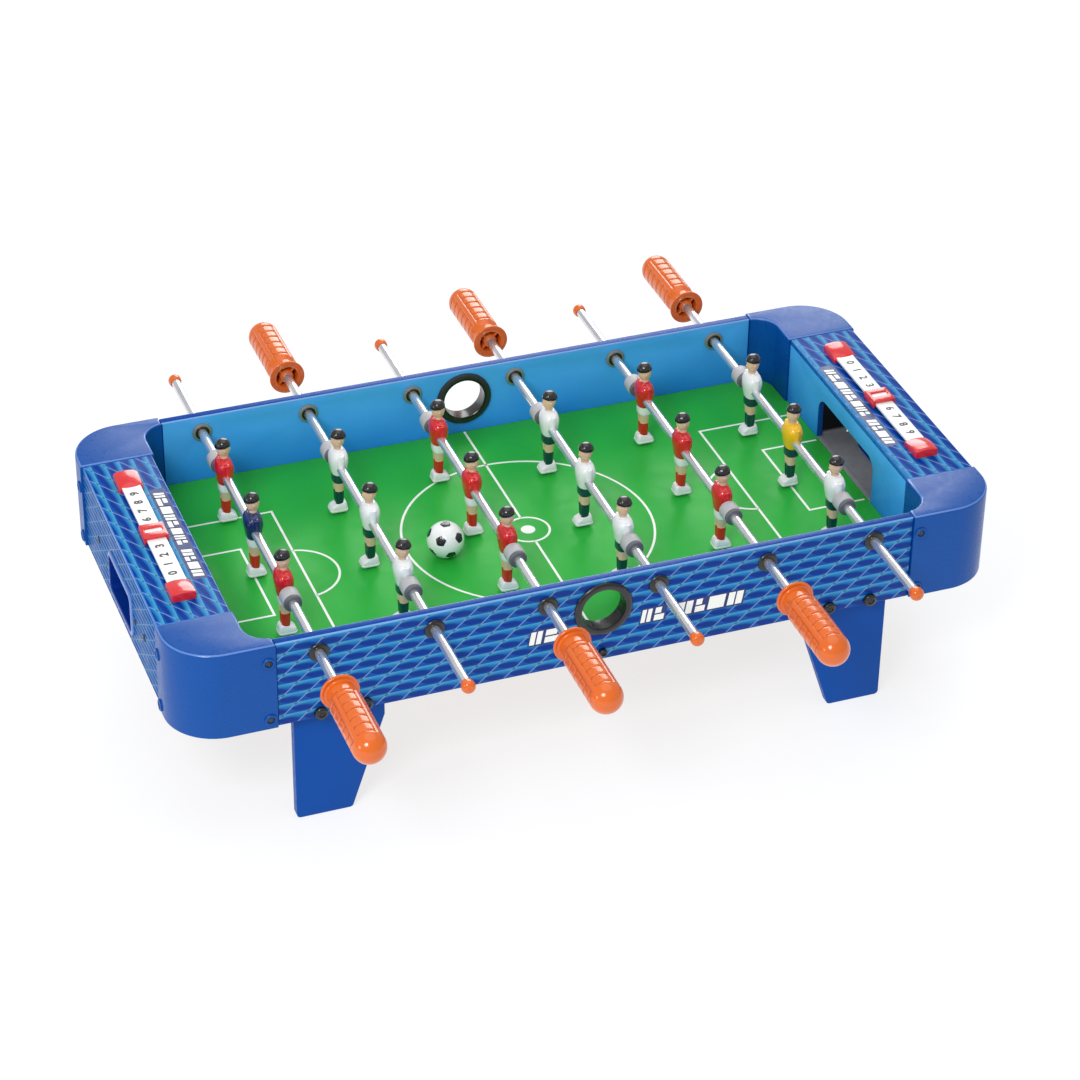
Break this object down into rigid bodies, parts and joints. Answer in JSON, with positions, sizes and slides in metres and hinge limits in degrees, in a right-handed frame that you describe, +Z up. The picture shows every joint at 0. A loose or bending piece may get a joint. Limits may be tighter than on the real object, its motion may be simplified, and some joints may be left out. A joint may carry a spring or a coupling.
{
  "type": "foosball table",
  "caption": "Tabletop foosball table: framed pitch with sliding and spinning player rods, goals, bead scorers and board legs.",
  "frame": {"origin": "centre of the footprint, on the surface that the legs stand on", "axes": "+X along the length towards the right-hand goal, +Y across to the far long side, +Z up"},
  "size_m": [0.697, 0.622, 0.197],
  "materials": {
    "pitch_green": "green printed fibreboard with white pitch lines, satin",
    "plain_wood": "bare fibreboard",
    "printed_blue": "fibreboard with a printed royal and sky blue pattern, satin",
    "wall_blue": "fibreboard with a plain sky blue foil, satin",
    "corner_blue": "moulded blue plastic, semi gloss",
    "leg_blue": "fibreboard with a plain royal blue foil, satin",
    "black_plastic": "moulded black plastic",
    "screw_dark": "dark plated steel screws",
    "tray_grey": "moulded dark grey plastic",
    "strip_white": "white plastic strip with black digits",
    "scorer_red": "moulded red plastic, gloss",
    "ball_white": "white plastic ball with black panels",
    "rod_chrome": "bright plated steel tube",
    "handle_orange": "moulded orange plastic, gloss",
    "player_red": "moulded plastic, painted as a player in a red kit",
    "player_white": "moulded plastic, painted as a player in a white kit",
    "bumper_grey": "light grey sleeve with a darker end ring"
  },
  "bodies": {
    "table": {"playfield": "pitch_green", "field_batten": "plain_wood", "side_panel_front": "printed_blue", "side_panel_back": "printed_blue", "end_inner_wall_left": "wall_blue", "end_outer_wall_left": "printed_blue", "end_top_left": "printed_blue", "goal_tray_left": "tray_grey", "end_inner_wall_right": "wall_blue", "end_outer_wall_right": "printed_blue", "end_top_right": "printed_blue", "goal_tray_right": "tray_grey", "corner_front_left": "corner_blue", "leg_front_left": "leg_blue", "corner_front_right": "corner_blue", "leg_front_right": "leg_blue", "corner_back_left": "corner_blue", "leg_back_left": "leg_blue", "corner_back_right": "corner_blue", "leg_back_right": "leg_blue", "leg_bolts": "black_plastic", "corner_screws": "screw_dark", "serve_rings": "black_plastic", "rod_bushes": "black_plastic", "ball_returns": "corner_blue", "score_strips": "strip_white", "score_brackets": "scorer_red"},
    "rod_1_carriage": {"bumpers_1": "bumper_grey"},
    "rod_1": {"rod_tube_1": "rod_chrome", "handle_1": "handle_orange", "end_cap_1": "handle_orange", "players_1": "player_red"},
    "rod_2_carriage": {"bumpers_2": "bumper_grey"},
    "rod_2": {"rod_tube_2": "rod_chrome", "handle_2": "handle_orange", "end_cap_2": "handle_orange", "players_2": "player_white"},
    "rod_3_carriage": {"bumpers_3": "bumper_grey"},
    "rod_3": {"rod_tube_3": "rod_chrome", "handle_3": "handle_orange", "end_cap_3": "handle_orange", "players_3": "player_red"},
    "rod_4_carriage": {"bumpers_4": "bumper_grey"},
    "rod_4": {"rod_tube_4": "rod_chrome", "handle_4": "handle_orange", "end_cap_4": "handle_orange", "players_4": "player_white"},
    "rod_5_carriage": {"bumpers_5": "bumper_grey"},
    "rod_5": {"rod_tube_5": "rod_chrome", "handle_5": "handle_orange", "end_cap_5": "handle_orange", "players_5": "player_red"},
    "rod_6_carriage": {"bumpers_6": "bumper_grey"},
    "rod_6": {"rod_tube_6": "rod_chrome", "handle_6": "handle_orange", "end_cap_6": "handle_orange", "players_6": "player_white"},
    "scorer_left": {"score_marker_left": "scorer_red"},
    "scorer_right": {"score_marker_right": "scorer_red"},
    "ball": {"ball": "ball_white"}
  },
  "joints": [
    {"name": "rod_1_slide", "type": "slide", "parent": "table", "child": "rod_1_carriage", "axis": [0, 1, 0], "range_m": [-0.056, 0.039]},
    {"name": "rod_1_spin", "type": "hinge", "parent": "rod_1_carriage", "child": "rod_1", "pos_m": [-0.2325, 0, 0.163], "axis": [0, 1, 0], "continuous": true},
    {"name": "rod_2_slide", "type": "slide", "parent": "table", "child": "rod_2_carriage", "axis": [0, 1, 0], "range_m": [-0.039, 0.056]},
    {"name": "rod_2_spin", "type": "hinge", "parent": "rod_2_carriage", "child": "rod_2", "pos_m": [-0.1395, 0, 0.163], "axis": [0, 1, 0], "continuous": true},
    {"name": "rod_3_slide", "type": "slide", "parent": "table", "child": "rod_3_carriage", "axis": [0, 1, 0], "range_m": [-0.056, 0.039]},
    {"name": "rod_3_spin", "type": "hinge", "parent": "rod_3_carriage", "child": "rod_3", "pos_m": [-0.0465, 0, 0.163], "axis": [0, 1, 0], "continuous": true},
    {"name": "rod_4_slide", "type": "slide", "parent": "table", "child": "rod_4_carriage", "axis": [0, 1, 0], "range_m": [-0.039, 0.056]},
    {"name": "rod_4_spin", "type": "hinge", "parent": "rod_4_carriage", "child": "rod_4", "pos_m": [0.0465, 0, 0.163], "axis": [0, 1, 0], "continuous": true},
    {"name": "rod_5_slide", "type": "slide", "parent": "table", "child": "rod_5_carriage", "axis": [0, 1, 0], "range_m": [-0.056, 0.039]},
    {"name": "rod_5_spin", "type": "hinge", "parent": "rod_5_carriage", "child": "rod_5", "pos_m": [0.1395, 0, 0.163], "axis": [0, 1, 0], "continuous": true},
    {"name": "rod_6_slide", "type": "slide", "parent": "table", "child": "rod_6_carriage", "axis": [0, 1, 0], "range_m": [-0.039, 0.056]},
    {"name": "rod_6_spin", "type": "hinge", "parent": "rod_6_carriage", "child": "rod_6", "pos_m": [0.2325, 0, 0.163], "axis": [0, 1, 0], "continuous": true},
    {"name": "scorer_left_slide", "type": "slide", "parent": "table", "child": "scorer_left", "axis": [0, 1, 0], "range_m": [-0.0595, 0.0595]},
    {"name": "scorer_right_slide", "type": "slide", "parent": "table", "child": "scorer_right", "axis": [0, 1, 0], "range_m": [-0.0595, 0.0595]},
    {"name": "ball_roll", "type": "slide", "parent": "table", "child": "ball", "axis": [0, 1, 0], "range_m": [-0.133, 0.161]}
  ]
}
